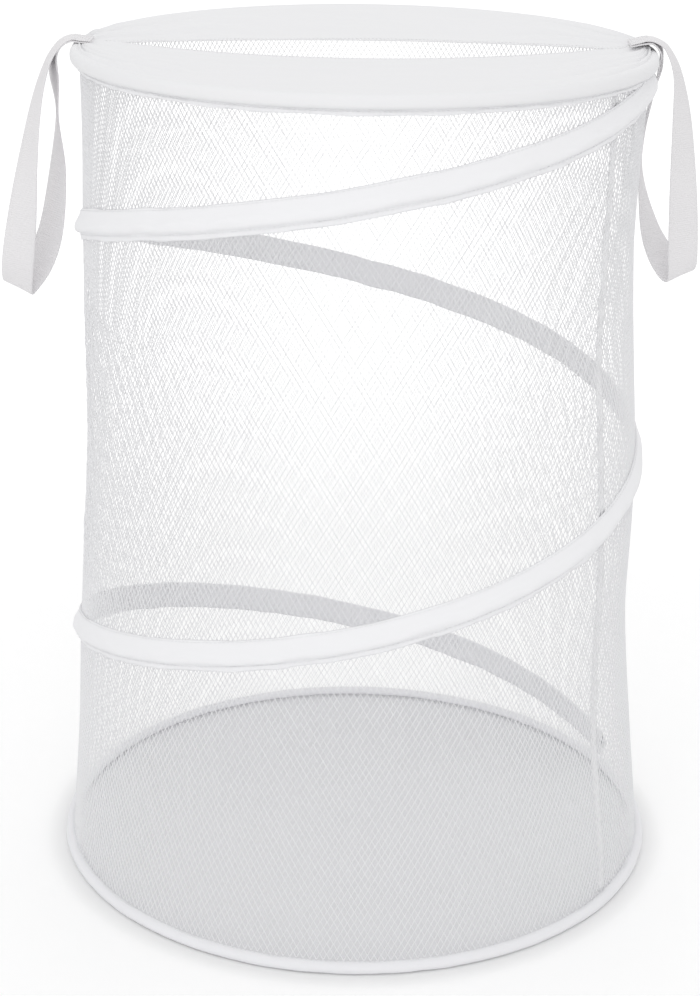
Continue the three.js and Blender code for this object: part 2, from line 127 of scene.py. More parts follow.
# The bound seam's inside in millimetres as (sideways, inwards from the net)
NET_SEAM_SECTION = [
    (-4, 0), (-3.4, 0.55), (-1.5, 0.7), (0, 0.9), (1.5, 0.7), (3.4, 0.55), (4, 0),
]

# Ways of the webbing in millimetres as (out from the axis, towards the back, up, twist in
# degrees, tilt), from the upper end on the rim down the near strand and up the far one
LEFT_WEBBING = [
    (202, 0, 634.5, 0, 0), (209, 0, 635, 2, 0), (218, 0, 635.5, 8, 0), (227, -1, 630, 12, 0),
    (236, -3, 615, 15, 0), (244, -6, 586, 25, 0), (251, -10, 541, 43, 0), (257, -13, 490, 70, 0.1),
    (260, -12, 465, 78, 0.3), (262, -3, 446, 76, 0.4), (259, 4, 446, 72, 0.4),
    (247, 12, 462, 64, 0.2), (238, 18, 488, 52, 0), (232, 18, 535, 34, 0), (231, 13, 575, 10, 0),
    (232, 7, 603, 22, 0), (231, 2, 619, 20, 0), (226, 0, 629, 8, 0), (218, 0, 634, 2, 0),
    (209, 0, 633.5, 0, 0), (202, 0, 633, 0, 0),
]
RIGHT_WEBBING = [
    (196, 0, 637, 0, 0), (202, 0, 638.5, 0, 0), (209, 0, 640, 2, 0), (217, -1, 638.5, 6, 0),
    (225, -2, 632, 11, 0), (233, -3, 613, 21, 0), (237, -7, 580, 40, 0), (240, -12, 525, 60, 0),
    (242, -11, 482, 68, 0.2), (243, -3, 462, 66, 0.3), (238, 5, 461, 62, 0.3),
    (229, 14, 473, 55, 0.2), (220, 23, 494, 37, 0), (213, 29, 530, 12, 0), (213, 25, 565, 6, 0),
    (217, 14, 595, 8, 0), (220, 6, 612, 13, 0), (220.5, 3, 623, 13, 0), (219, 0, 632, 8, 0),
    (213, 0, 637.5, 2, 0), (206, 0, 637.5, 0, 0), (196, 0, 635.5, 0, 0),
]
# The loops hang from this height, below the sewn ends
WEBBING_JUNCTION = 0.618


def length_property(label, default, about):
    return FloatProperty(name=label, description=about, default=default, unit="LENGTH")


def colour_property(label, default, about):
    return FloatVectorProperty(
        name=label, description=about, default=default, subtype="COLOR", size=3, min=0, max=1
    )


class HamperSizes(bpy.types.PropertyGroup):
    """Sizes of the hamper"""

    rim_radius: length_property("Rim radius", 0.216, "To the outside of the top hoop's tape")
    base_radius: length_property("Base radius", 0.233, "To the outside of the base piping")
    rim_height: length_property("Rim height", 0.628, "To the centre of the top hoop's wire")
    casing_depth: length_property("Casing depth", 0.006, "How far a casing stands out from the net")
    tape_thickness: length_property("Tape thickness", 0.0005, "Of the folded casing tape")
    wire_radius: length_property("Wire radius", 0.0013, "Of the spiral's steel wire")
    clearance: length_property("Clearance", 0.0003, "Between pieces that lie together")
    net_columns: IntProperty(name="Net columns", description="Cells round the net", default=292)
    net_rows: IntProperty(name="Net rows", description="Cells from base to rim", default=82)
    thread_width: length_property("Net thread width", 0.00058, "Across a thread of the net")
    thread_depth: length_property("Net thread depth", 0.0003, "Through a thread of the net")
    waist: length_property("Waist", 0.006, "How far the net draws in across a long span")
    draw_in: length_property("Draw in", 0.0055, "How far the spiral is pulled in at half height")
    slit_length: length_property("Slit half length", 0.18, "From the middle to a tip of the slit")
    slit_width: length_property("Slit half width", 0.045, "From the slit's middle line to its hem")
    flap_thickness: length_property("Flap thickness", 0.0006, "Of the flap fabric")
    back_rise: length_property("Back rise", 0.0035, "How far the back flap bows up on its hoop")
    flap_sag: length_property("Flap sag", 0.0025, "How far the middle of a hem hangs")
    webbing_width: length_property("Webbing width", 0.0254, "Across a handle")
    webbing_depth: length_property("Webbing thickness", 0.001, "Through a handle")
    rib_pitch: length_property("Rib pitch", 0.0017, "Between the webbing's cross ribs")
    rib_height: length_property("Rib height", 0.0003, "Of the webbing's cross ribs")
    piping_radius: length_property("Piping radius", 0.00425, "Of the cord round the base")
    panel_thickness: length_property("Floor thickness", 0.0012, "Of the fabric floor")
    stitch_pitch: length_property("Stitch pitch", 0.0035, "From one stitch to the next")
    stitch_width: length_property("Stitch width", 0.0006, "Across a stitch")


class HamperColours(bpy.types.PropertyGroup):
    """Colours of the hamper"""

    flap: colour_property("Flap fabric", (0.74, 0.74, 0.74), "Plain weave of the two flaps")
    tape: colour_property("Tape", (0.83, 0.83, 0.83), "Folded tape of the casings")
    piping: colour_property("Piping", (0.8, 0.8, 0.8), "Cord cover round the base")
    net: colour_property("Net", (0.93, 0.93, 0.935), "Knitted threads of the wall")
    floor: colour_property("Floor fabric", (0.95, 0.95, 0.955), "Coated fabric of the floor")
    webbing: colour_property("Webbing", (0.97, 0.97, 0.97), "Ribbed handles")
    thread: colour_property("Thread", (0.83, 0.83, 0.84), "Sewing thread")
    steel: colour_property("Steel", (0.55, 0.56, 0.58), "Spring steel wire")


# Numbers and points


def wobble(points, shortest, longest, seed, waves=14):
    """Gentle irregular values about zero, made of plane waves between two wavelengths."""
    random = np.random.RandomState(seed)
    points = np.atleast_2d(points) if np.ndim(points) < 2 else points
    total = np.zeros(points.shape[:-1])
    for _ in range(waves):
        way = random.normal(size=points.shape[-1])
        way /= np.linalg.norm(way)
        length = shortest * (longest / shortest) ** random.uniform()
        total += np.sin(FULL_TURN * (points @ way) / length + random.uniform(0, FULL_TURN))
    return total / math.sqrt(waves / 2)


def ease(value, start, end):
    """0 before start, 1 after end and smooth between them."""
    share = np.clip((value - start) / (end - start), 0, 1)
    return share * share * (3 - 2 * share)


def on_ring(turn, radius, height):
    """Points at turns, radii and heights that broadcast together."""
    angle = -FULL_TURN * turn
    spread = np.broadcast_arrays(radius * np.cos(angle), radius * np.sin(angle), height)
    return np.stack(spread, axis=-1)


def casing_radius(sizes, height):
    """Radius of the casings' outside at a height."""
    flare = (sizes.rim_radius - sizes.base_radius) / sizes.rim_height
    drawn = np.maximum(0, np.sin(math.pi * height / sizes.rim_height))
    return sizes.base_radius + flare * height - sizes.draw_in * drawn


def net_radius(sizes, height):
    return casing_radius(sizes, height) - sizes.casing_depth - sizes.clearance


def spiral_height(sizes, turn):
    """Height of the spiral's wire at a turn, on a cubic through its quarter turns."""
    values = SPIRAL_HEIGHT_SHARES * sizes.rim_height
    last = len(values) - 2
    quarter = np.asarray(turn, float) * 4
    i = np.clip(np.floor(quarter).astype(int), 0, last)
    p = quarter - i
    before = np.where(i == 0, values[i + 1], values[np.maximum(i - 1, 0)])
    after = np.where(i == last, values[i], values[np.minimum(i + 2, last + 1)])
    weight_before = np.where(i == 0, -0.5, 0.5)
    weight_after = np.where(i == last, -0.5, 0.5)
    share_before = -weight_before * p**3 + 2 * weight_before * p**2 - weight_before * p
    share_here = (1 + weight_before) * p**3 - (1.5 + 2 * weight_before) * p**2
    share_here = share_here + (weight_before - 0.5) * p + 1
    share_next = -(1 + weight_after) * p**3 + (1.5 + weight_after) * p**2 + 0.5 * p
    share_after = weight_after * p**3 - weight_after * p**2
    return (
        share_before * before
        + share_here * values[i]
        + share_next * values[i + 1]
        + share_after * after
    )


def reaches(line):
    """How far along a line each of its points lies."""
    steps = np.linalg.norm(np.diff(line, axis=0), axis=1)
    return np.concatenate([[0], np.cumsum(steps)])


def smooth_line(knots, count, measured=3):
    """Points at even steps along a smooth line through knots."""
    knots = np.asarray(knots, float)
    padded = np.vstack([2 * knots[0] - knots[1], knots, 2 * knots[-1] - knots[-2]])
    t = np.linspace(0, 1, 24, endpoint=False)[:, None]
    spans = []
    for a, b, c, d in zip(padded, padded[1:], padded[2:], padded[3:]):
        square = 2 * a - 5 * b + 4 * c - d
        cube = 3 * b - a - 3 * c + d
        spans.append(0.5 * (2 * b + (c - a) * t + square * t**2 + cube * t**3))
    line = np.vstack([*spans, knots[-1:]])
    reach = reaches(line[:, :measured])
    even = np.linspace(0, reach[-1], count)
    return np.stack([np.interp(even, reach, column) for column in line.T], axis=1)


def line_length(line):
    return np.linalg.norm(np.diff(line, axis=0), axis=1).sum()


def grid_normals(points, is_ring=False):
    """Normals of a grid of points, on the left of its rows seen along them."""
    if is_ring:
        along = np.roll(points, -1, axis=0) - np.roll(points, 1, axis=0)
    else:
        along = np.gradient(points, axis=0)
    normals = np.cross(along, np.gradient(points, axis=1))
    return normals / np.maximum(np.linalg.norm(normals, axis=-1, keepdims=True), 1e-12)


# Meshes


def lofted(name, points, is_ring=False):
    """A closed mesh whose outline (an even count of points) is carried through stations.

    Its cloth coordinates are metres along the stations and across the outline."""
    stations, sides = points.shape[:2]
    index = np.arange(stations * sides).reshape(stations, sides)
    if is_ring:
        index = np.vstack([index, index[:1]])
    index = np.hstack([index, index[:, :1]])
    looped = np.vstack([points, points[:1]]) if is_ring else points
    steps = np.linalg.norm(np.diff(looped, axis=0), axis=2).mean(axis=1)
    along = np.concatenate([[0], np.cumsum(steps)])
    across = reaches(np.vstack([points[0], points[0, :1]]))
    u, v = np.meshgrid(along, across, indexing="ij")
    cloth = np.stack([u, v], axis=-1)

    def squares(grid):
        corners = [grid[:-1, :-1], grid[:-1, 1:], grid[1:, 1:], grid[1:, :-1]]
        return np.stack(corners, axis=2).reshape(-1, 4, *grid.shape[2:])

    faces = squares(index)
    coordinates = squares(cloth)
    if not is_ring:
        first = np.arange(sides // 2 - 1)
        end = np.stack([first, first + 1, sides - 2 - first, sides - 1 - first], axis=1)
        last = (stations - 1) * sides
        faces = np.vstack([faces, end[:, ::-1], end + last])
        ends = np.stack([np.zeros(end.shape), across[end]], axis=-1)
        coordinates = np.vstack([coordinates, ends[:, ::-1], ends + [along[-1], 0]])
    flat = points.reshape(-1, 3)
    corner = flat[faces]
    volume = np.einsum("ij,ij->i", corner[:, 0], np.cross(corner[:, 1], corner[:, 2])).sum()
    volume += np.einsum("ij,ij->i", corner[:, 0], np.cross(corner[:, 2], corner[:, 3])).sum()
    if volume < 0:
        faces, coordinates = faces[:, ::-1], coordinates[:, ::-1]
    mesh = bpy.data.meshes.new(name)
    mesh.from_pydata(flat.tolist(), [], faces.tolist())
    layer = mesh.uv_layers.new(name="cloth")
    layer.data.foreach_set("uv", coordinates.astype(np.float32).ravel())
    mesh.shade_smooth()
    return mesh


def closed_outlines(face, back):
    """Stations of a closed outline: a grid's face, then its back."""
    return np.concatenate([face, back[:, ::-1]], axis=1)


def lines_mesh(name, lines):
    """Loose chains of edges, one through each line of points."""
    lines = [np.asarray(line, float) for line in lines]
    starts = np.cumsum([0] + [len(line) for line in lines])
    edges = [
        np.stack([np.arange(first, last - 1), np.arange(first + 1, last)], axis=1)
        for first, last in zip(starts, starts[1:])
    ]
    points = np.vstack(lines)
    edges = np.vstack(edges)
    mesh = bpy.data.meshes.new(name)
    mesh.vertices.add(len(points))
    mesh.vertices.foreach_set("co", points.ravel())
    mesh.edges.add(len(edges))
    mesh.edges.foreach_set("vertices", edges.ravel())
    mesh.update()
    return mesh


def shown(name, mesh, material):
    """Puts a mesh in the scene with its only material."""
    if len(mesh.polygons) == 0:
        raise RuntimeError(f"{name} has no faces")
    mesh.name = name
    mesh.materials.clear()
    mesh.materials.append(material)
    piece = bpy.data.objects.new(name, mesh)
    bpy.context.scene.collection.objects.link(piece)
    return piece


def placed(piece, body, slot, *nodes):
    """Rides a piece on its body and hides the CAD nodes that it stands for; its slot is not used.
    """
    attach(piece, body)
    if nodes:
        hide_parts(*nodes)
    return piece


def cloth_piece(name, points, body, slot, *nodes, is_ring=False):
    """A lofted piece in its slot's finish, on its body, in place of CAD nodes."""
    piece = shown(name, lofted(name, points, is_ring), finish(slot))
    return placed(piece, body, slot, *nodes)


def folding(piece, attached, folded=None):
    """Gives a piece of the wall its own copy of its mesh.

    attached is the height at which it joins the rim, and folded that height once it is down;
    neither changes the piece."""
    folded = attached - COLLAPSE_TRAVEL if folded is None else folded
    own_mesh(piece)


# Node trees


class Value:
    """A node's output that takes part in Python expressions."""

    def __init__(self, maker, socket):
        self.maker = maker
        self.socket = socket

    def math(self, operation, *others):
        sockets = dict(enumerate([self, *others]))
        return self.maker.node("ShaderNodeMath", {"operation": operation}, sockets)

    def flipped(self, operation, other):
        return self.maker.node("ShaderNodeMath", {"operation": operation}, {0: other, 1: self})

    def __add__(self, other):
        return self.math("ADD", other)

    def __mul__(self, other):
        return self.math("MULTIPLY", other)

    def __truediv__(self, other):
        return self.math("DIVIDE", other)

    def __radd__(self, other):
        return self.flipped("ADD", other)

    def __rmul__(self, other):
        return self.flipped("MULTIPLY", other)

    def __rtruediv__(self, other):
        return self.flipped("DIVIDE", other)

    def sine(self):
        return self.math("SINE")

    def size(self):
        return self.math("ABSOLUTE")


class Nodes:
    """Makes the nodes of one tree."""

    def __init__(self, tree):
        self.tree = tree

    def node(self, kind, settings=None, sockets=None, out=0):
        made = self.tree.nodes.new(kind)
        for key, value in (settings or {}).items():
            setattr(made, key, value)
        for key, value in (sockets or {}).items():
            if isinstance(value, Value):
                self.tree.links.new(value.socket, made.inputs[key])
            else:
                made.inputs[key].default_value = value
        return Value(self, made.outputs[out]) if made.outputs else made

    def other(self, value, out):
        """Another output of the node that a value comes from."""
        return Value(self, value.socket.node.outputs[out])


def material_nodes(name):
    material = bpy.data.materials.new(name)
    material.use_nodes = True
    material.node_tree.nodes.clear()
    return material, Nodes(material.node_tree)


def finish_material(nodes, sockets, constants):
    surface = nodes.node("ShaderNodeBsdfPrincipled", None, {**constants, **sockets})
    nodes.node("ShaderNodeOutputMaterial", None, {"Surface": surface})


def shade(colour, factor):
    return (*[min(channel * factor, 1) for channel in colour], 1)


def cloth_coordinates(nodes):
    """Metres along and across a piece of cloth."""
    cloth = nodes.node("ShaderNodeUVMap", {"uv_map": "cloth"})
    parts = nodes.node("ShaderNodeSeparateXYZ", None, {0: cloth})
    return parts, nodes.other(parts, 1)


def weave_height(nodes, pitch):
    """The over and under of a plain weave, about zero."""
    along, across = cloth_coordinates(nodes)
    rate = FULL_TURN / pitch
    return (along * rate).sine() * (across * rate).sine()


def bump(nodes, height, distance, strength=1.0, under=None):
    sockets = {"Strength": strength, "Distance": distance, "Height": height}
    if under is not None:
        sockets["Normal"] = under
    return nodes.node("ShaderNodeBump", None, sockets)


def noise(nodes, scale, detail=3.0, stretch=None):
    """Noise on the object's own coordinates."""
    place = nodes.node("ShaderNodeTexCoord", None, None, out="Object")
    if stretch:
        place = nodes.node("ShaderNodeMapping", None, {"Vector": place, "Scale": stretch})
    sockets = {"Vector": place, "Scale": scale, "Detail": detail}
    return nodes.node("ShaderNodeTexNoise", None, sockets)


def mixed_colour(nodes, factor, low, high):
    settings = {"data_type": "RGBA"}
    sockets = {"Factor": factor, 6: low, 7: high}
    return nodes.node("ShaderNodeMix", settings, sockets, out=2)


def woven_material(name, colour, pitch=0.0005, relief=0.00002, crease=0.0004, sheen=0.15):
    """Plain woven cloth with faint uneven shade and soft small creases."""
    material, nodes = material_nodes(name)
    weave = weave_height(nodes, pitch)
    patches = noise(nodes, 28)
    tint = patches * 0.8 + weave * 0.1 + 0.1
    base = mixed_colour(nodes, tint, shade(colour, 0.965), shade(colour, 1.02))
    soft = bump(nodes, noise(nodes, 90, 4), crease, 0.6)
    normal = bump(nodes, weave, relief, 0.7, soft)
    finish_material(
        nodes,
        {"Base Color": base, "Normal": normal},
        {"Roughness": 0.78, "Specular IOR Level": 0.3, "Sheen Weight": sheen},
    )
    return material


def net_material(name, colour):
    """Knitted thread: fine fibres and a faint change of shade from thread to thread."""
    material, nodes = material_nodes(name)
    fibres = noise(nodes, 1800, 2, (1, 1, 0.35))
    patches = noise(nodes, 60)
    tint = patches * 0.7 + fibres * 0.3
    base = mixed_colour(nodes, tint, shade(colour, 0.95), shade(colour, 1.04))
    finish_material(
        nodes,
        {"Base Color": base, "Normal": bump(nodes, fibres, 0.00003, 0.5)},
        {"Roughness": 0.7, "Specular IOR Level": 0.35},
    )
    return material


def webbing_material(name, colour):
    """Ribbed webbing: the ribs are in its mesh, the fine warp is in the bump.

    The grooves between the ribs are painted darker and their crests lighter: painted shade."""
    material, nodes = material_nodes(name)
    along, across = cloth_coordinates(nodes)
    warp = (across * (FULL_TURN / 0.0009)).sine() * (along * (FULL_TURN / 0.003)).sine()
    patches = noise(nodes, 45)
    # Painted shade: the colour is darker in the grooves between the ribs and lighter on their
    # crests
    painted_rib_shade = (along * (math.pi / bpy.context.scene.hamper_sizes.rib_pitch)).sine().size()
    tint = patches * 0.3 + warp * 0.08 + painted_rib_shade * painted_rib_shade * 0.7
    base = mixed_colour(nodes, tint, shade(colour, 0.9), shade(colour, 1.03))
    finish_material(
        nodes,
        {"Base Color": base, "Normal": bump(nodes, warp, 0.00002, 0.7)},
        {"Roughness": 0.68, "Specular IOR Level": 0.35, "Sheen Weight": 0.1},
    )
    return material


def thread_material(name, colour):
    """Twisted sewing thread."""
    material, nodes = material_nodes(name)
    twist = noise(nodes, 2600, 2, (1, 1, 0.4))
    base = mixed_colour(nodes, twist, shade(colour, 0.92), shade(colour, 1.05))
    finish_material(
        nodes,
        {"Base Color": base, "Normal": bump(nodes, twist, 0.0001, 0.6)},
        {"Roughness": 0.6, "Specular IOR Level": 0.4},
    )
    return material


def steel_material(name, colour):
    """Drawn spring steel with fine lines along the wire."""
    material, nodes = material_nodes(name)
    lines = noise(nodes, 500, 4, (1, 1, 6))
    base = mixed_colour(nodes, lines, shade(colour, 0.85), shade(colour, 1.1))
    roughness = lines * 0.2 + 0.25
    sockets = {"Base Color": base, "Roughness": roughness, "Normal": bump(nodes, lines, 0.00003)}
    finish_material(nodes, sockets, {"Metallic": 1.0})
    return material


def geometry_nodes(name, inputs):
    """A geometry tree whose named inputs are values in its own maker."""
    tree = bpy.data.node_groups.new(name, "GeometryNodeTree")
    kinds = {float: "NodeSocketFloat", int: "NodeSocketInt"}
    tree.interface.new_socket("Geometry", in_out="INPUT", socket_type="NodeSocketGeometry")
    for label, default in inputs.items():
        socket = tree.interface.new_socket(label, in_out="INPUT", socket_type=kinds[type(default)])
        socket.default_value = default
    tree.interface.new_socket("Material", in_out="INPUT", socket_type="NodeSocketMaterial")
    tree.interface.new_socket("Geometry", in_out="OUTPUT", socket_type="NodeSocketGeometry")
    nodes = Nodes(tree)
    source = nodes.node("NodeGroupInput")
    outputs = source.socket.node.outputs
    return nodes, {socket.name: Value(nodes, socket) for socket in outputs if socket.name}


def finish_geometry(nodes, geometry, values, smooth=True):
    """Realizes the instances, sets the material and ends the tree."""
    real = nodes.node("GeometryNodeRealizeInstances", None, {"Geometry": geometry})
    sockets = {"Geometry": real, "Shade Smooth": smooth}
    softened = nodes.node("GeometryNodeSetShadeSmooth", None, sockets)
    sockets = {"Geometry": softened, "Material": values["Material"]}
    painted = nodes.node("GeometryNodeSetMaterial", None, sockets)
    nodes.node("NodeGroupOutput", None, {"Geometry": painted})
    return nodes.tree


def net_thread_tree():
    """Flat threads along chains of edges, their width in the net's surface."""
    nodes, values = geometry_nodes("net_threads", {"Thread Width": 0.0009, "Thread Depth": 0.0004})
    path = nodes.node("GeometryNodeMeshToCurve", None, {"Mesh": values["Geometry"]})
    path = nodes.node("GeometryNodeSetCurveNormal", {"mode": "Z_UP"}, {"Curve": path})
    sockets = {"Width": values["Thread Depth"], "Height": values["Thread Width"]}
    profile = nodes.node("GeometryNodeCurvePrimitiveQuadrilateral", None, sockets)
    sockets = {"Curve": path, "Profile Curve": profile, "Fill Caps": True}
    threads = nodes.node("GeometryNodeCurveToMesh", None, sockets)
    return finish_geometry(nodes, threads, values, False)


def wire_tree():
    """A round wire along a chain of edges."""
    nodes, values = geometry_nodes("wire", {"Radius": 0.0013, "Sides": 10})
    path = nodes.node("GeometryNodeMeshToCurve", None, {"Mesh": values["Geometry"]})
    sockets = {"Resolution": values["Sides"], "Radius": values["Radius"]}
    profile = nodes.node("GeometryNodeCurvePrimitiveCircle", None, sockets)
    sockets = {"Curve": path, "Profile Curve": profile, "Fill Caps": True}
    wire = nodes.node("GeometryNodeCurveToMesh", None, sockets)
    return finish_geometry(nodes, wire, values)


def stitch_tree():
    """A row of stitches, each a rounded bead of thread laid along the path."""
    inputs = {"Stitch Pitch": 0.0035, "Stitch Length": 0.0026, "Stitch Width": 0.0006}
    nodes, values = geometry_nodes("stitch_row", inputs)
    path = nodes.node("GeometryNodeMeshToCurve", None, {"Mesh": values["Geometry"]})
    settings = {"mode": "LENGTH"}
    sockets = {"Curve": path, "Length": values["Stitch Pitch"]}
    places = nodes.node("GeometryNodeCurveToPoints", settings, sockets)
    sockets = {"Vector": nodes.other(places, "Tangent")}
    turned = nodes.node("FunctionNodeAlignRotationToVector", {"axis": "Z"}, sockets)
    bead = nodes.node("GeometryNodeMeshUVSphere", None, {"Segments": 6, "Rings": 5, "Radius": 0.5})
    width = values["Stitch Width"]
    sockets = {"X": width, "Y": width, "Z": values["Stitch Length"]}
    size = nodes.node("ShaderNodeCombineXYZ", None, sockets)
    sockets = {"Points": places, "Instance": bead, "Rotation": turned, "Scale": size}
    stitches = nodes.node("GeometryNodeInstanceOnPoints", None, sockets)
    return finish_geometry(nodes, stitches, values)


def rib_tree():
    """Raises even cross ribs on webbing, from the distance along it."""
    nodes, values = geometry_nodes("webbing_ribs", {"Rib Pitch": 0.0015, "Rib Height": 0.00016})
    settings = {"data_type": "FLOAT"}
    along = nodes.node("GeometryNodeInputNamedAttribute", settings, {"Name": "along"})
    wave = (along * math.pi / values["Rib Pitch"]).sine().size()
    normal = nodes.node("GeometryNodeInputNormal")
    sockets = {0: normal, "Scale": wave * values["Rib Height"]}
    lift = nodes.node("ShaderNodeVectorMath", {"operation": "SCALE"}, sockets)
    sockets = {"Geometry": values["Geometry"], "Offset": lift}
    ribbed = nodes.node("GeometryNodeSetPosition", None, sockets)
    return finish_geometry(nodes, ribbed, values)


def grown(name, mesh, tree, material, inputs):
    """Runs a tree on a mesh and keeps the result as a plain mesh."""
    carrier = bpy.data.objects.new(f"{name}_source", mesh)
    bpy.context.scene.collection.objects.link(carrier)
    modifier = carrier.modifiers.new("Nodes", "NODES")
    modifier.node_group = tree
    values = {**inputs, "Material": material}
    for item in tree.interface.items_tree:
        if item.item_type == "SOCKET" and item.in_out == "INPUT" and item.name in values:
            modifier[item.identifier] = values[item.name]
    evaluated = carrier.evaluated_get(bpy.context.evaluated_depsgraph_get())
    result = bpy.data.meshes.new_from_object(evaluated)
    bpy.data.objects.remove(carrier)
    return shown(name, result, material)


def stitched(name, sizes, lines, body, *nodes, width=None, pitch=None):
    """Rows of stitches along lines of points, on a body."""
    pitch = pitch or sizes.stitch_pitch
    inputs = {
        "Stitch Pitch": pitch,
        "Stitch Length": pitch * 0.78,
        "Stitch Width": width or sizes.stitch_width,
    }
    sewn = grown(name, lines_mesh(name, lines), stitch_tree(), finish("thread"), inputs)
    return placed(sewn, body, "thread", *nodes)


# Finishes shared by pieces


def finish(kind):
    """The material of one of the record's slots, made the first time it is asked for."""
    found = bpy.data.materials.get(kind)
    if found:
        return found
    colours = bpy.context.scene.hamper_colours
    makers = {
        "flap_fabric": (woven_material, colours.flap, {"crease": 0.0005}),
        "tape": (woven_material, colours.tape, {"pitch": 0.0006, "crease": 0.0005}),
        "piping": (woven_material, colours.piping, {"pitch": 0.0006, "crease": 0.0003}),
        "floor_fabric": (woven_material, colours.floor, {"pitch": 0.0007, "sheen": 0.05}),
        "net": (net_material, colours.net, {}),
        "webbing": (webbing_material, colours.webbing, {}),
        "thread": (thread_material, colours.thread, {}),
        "steel_wire": (steel_material, colours.steel, {}),
    }
    make, colour, details = makers[kind]
    return make(kind, colour, **details)


# Stage


class HAMPER_OT_stage(bpy.types.Operator):
    """Sets up the camera, the white floor and the soft light"""

    bl_idname = "hamper.stage"
    bl_label = "Stage"

    def execute(self, context):
        scene = context.scene
        scene.view_settings.view_transform = "Standard"
        self.add_camera(scene)
        self.light_world(scene)
        self.add_floor(scene)
        for lamp in LAMPS:
            self.add_lamp(scene, *lamp)
        return {"FINISHED"}

    @staticmethod
    def add_camera(scene):
        data = bpy.data.cameras.new("camera")
        data.sensor_width = SENSOR
        data.lens = FOCAL_LENGTH / FRAME_TALL * SENSOR
        data.shift_x = (FRAME_WIDE / 2 - LENS_X) / FRAME_TALL
        data.shift_y = (LENS_Y - FRAME_TALL / 2) / FRAME_TALL
        data.clip_end = 50
        camera = bpy.data.objects.new("camera", data)
        pitch = Matrix.Rotation(math.radians(90 - CAMERA_DOWN), 4, "X")
        roll = Matrix.Rotation(math.radians(CAMERA_ROLL), 4, "Z")
        camera.matrix_world = Matrix.Translation(CAMERA_PLACE) @ pitch @ roll
        scene.collection.objects.link(camera)
        scene.camera = camera

    @staticmethod
    def seen_directly(nodes):
        """1 for rays that show the backdrop itself, 0 for rays that light the object."""
        path = nodes.node("ShaderNodeLightPath", None, None, out="Is Camera Ray")
        mirrored = nodes.other(path, "Is Glossy Ray")
        through = nodes.other(path, "Is Transmission Ray")
        return path.math("MAXIMUM", mirrored).math("MAXIMUM", through)

    def light_world(self, scene):
        world = bpy.data.worlds.new("white_room")
        world.use_nodes = True
        world.node_tree.nodes.clear()
        nodes = Nodes(world.node_tree)
        strength = self.seen_directly(nodes) * (1 - WORLD_FILL) + WORLD_FILL
        sockets = {"Color": (1, 1, 1, 1), "Strength": strength}
        background = nodes.node("ShaderNodeBackground", None, sockets)
        nodes.node("ShaderNodeOutputWorld", None, {"Surface": background})
        scene.world = world

    def add_floor(self, scene):
        reach = 12
        corners = [(-reach, -reach, 0), (reach, -reach, 0), (reach, reach, 0), (-reach, reach, 0)]
        mesh = bpy.data.meshes.new("studio_floor")
        mesh.from_pydata(corners, [], [(0, 1, 2, 3)])
        material, nodes = material_nodes("studio_floor")
        place = nodes.node("ShaderNodeTexCoord", None, None, out="Object")
        settings = {"operation": "LENGTH"}
        distance = nodes.node("ShaderNodeVectorMath", settings, {0: place}, out="Value")
        settings = {"interpolation_type": "SMOOTHSTEP"}
        glow = 0
        for start, end, gain in FLOOR_GLOW:
            sockets = {0: distance, 1: start, 2: end, 3: 0, 4: gain}
            glow = nodes.node("ShaderNodeMapRange", settings, sockets) + glow
        sockets = {"Emission Color": self.seen_directly(nodes) * glow}
        constants = {
            "Base Color": (0.9, 0.9, 0.9, 1),
            "Roughness": 1.0,
            "Specular IOR Level": 0.0,
            "Emission Strength": 1.0,
        }
        finish_material(nodes, sockets, constants)
        floor = shown("studio_floor", mesh, material)
        floor.location.z = -0.0005

    @staticmethod
    def add_lamp(scene, name, place, size, power):
        data = bpy.data.lights.new(name, "AREA")
        data.shape = "SQUARE"
        data.size = size
        data.energy = power
        lamp = bpy.data.objects.new(name, data)
        aim = Vector(LAMP_AIM) - Vector(place)
        turned = aim.to_track_quat("-Z", "Y").to_matrix().to_4x4()
        lamp.matrix_world = Matrix.Translation(place) @ turned
        scene.collection.objects.link(lamp)


# Net wall

# Fields of folds as (turn, reach in turns, lowest and highest point, slant from the level in
# radians, pitch, depth)
FOLDS = [
    (0.40, 0.07, 0.18, 0.47, 1.05, 0.011, 0.0009),
    (0.47, 0.03, 0.20, 0.50, 1.45, 0.016, 0.0014),
    (0.12, 0.08, 0.24, 0.60, 2.05, 0.015, 0.0007),
    (0.30, 0.09, 0.06, 0.22, 1.25, 0.013, 0.0006),
    (0.70, 0.12, 0.15, 0.50, 1.15, 0.014, 0.0008),
    (0.88, 0.07, 0.10, 0.40, 2.00, 0.013, 0.0008),
]


def span_waist(sizes, turn, height):
    """How far the net draws in between the casings above and below a point."""
    bottom = 2 * sizes.piping_radius
    share = turn % 1
    first = np.where(share < SPIRAL_FIRST, sizes.rim_height, spiral_height(sizes, share))
    second = np.where(share > SPIRAL_LAST - 1, bottom, spiral_height(sizes, 1 + share))
    levels = [np.full_like(height, bottom), second, first, np.full_like(height, sizes.rim_height)]
    side = 0.75 + 0.25 * np.cos(FULL_TURN * share)
    full_span = 0.3
    waist = np.zeros_like(height)
    for low, high in zip(levels, levels[1:]):
        span = np.maximum(high - low, 1e-6)
        place = np.clip((height - low) / span, 0, 1)
        waist += sizes.waist * side * (span / full_span) ** 2 * np.sin(math.pi * place) ** 2
    return waist


def net_surface(sizes, turn, height):
    """Points on the net with its waist and its slack."""
    flat = np.stack([np.cos(FULL_TURN * turn), np.sin(FULL_TURN * turn), 2 * height], axis=-1)
    waist = span_waist(sizes, turn, height)
    slack = waist * 0.12 * wobble(flat, 0.25, 0.8, 5)
    radius = net_radius(sizes, height) - waist + slack + tension_folds(sizes, turn, height)
    return on_ring(turn, radius, height)


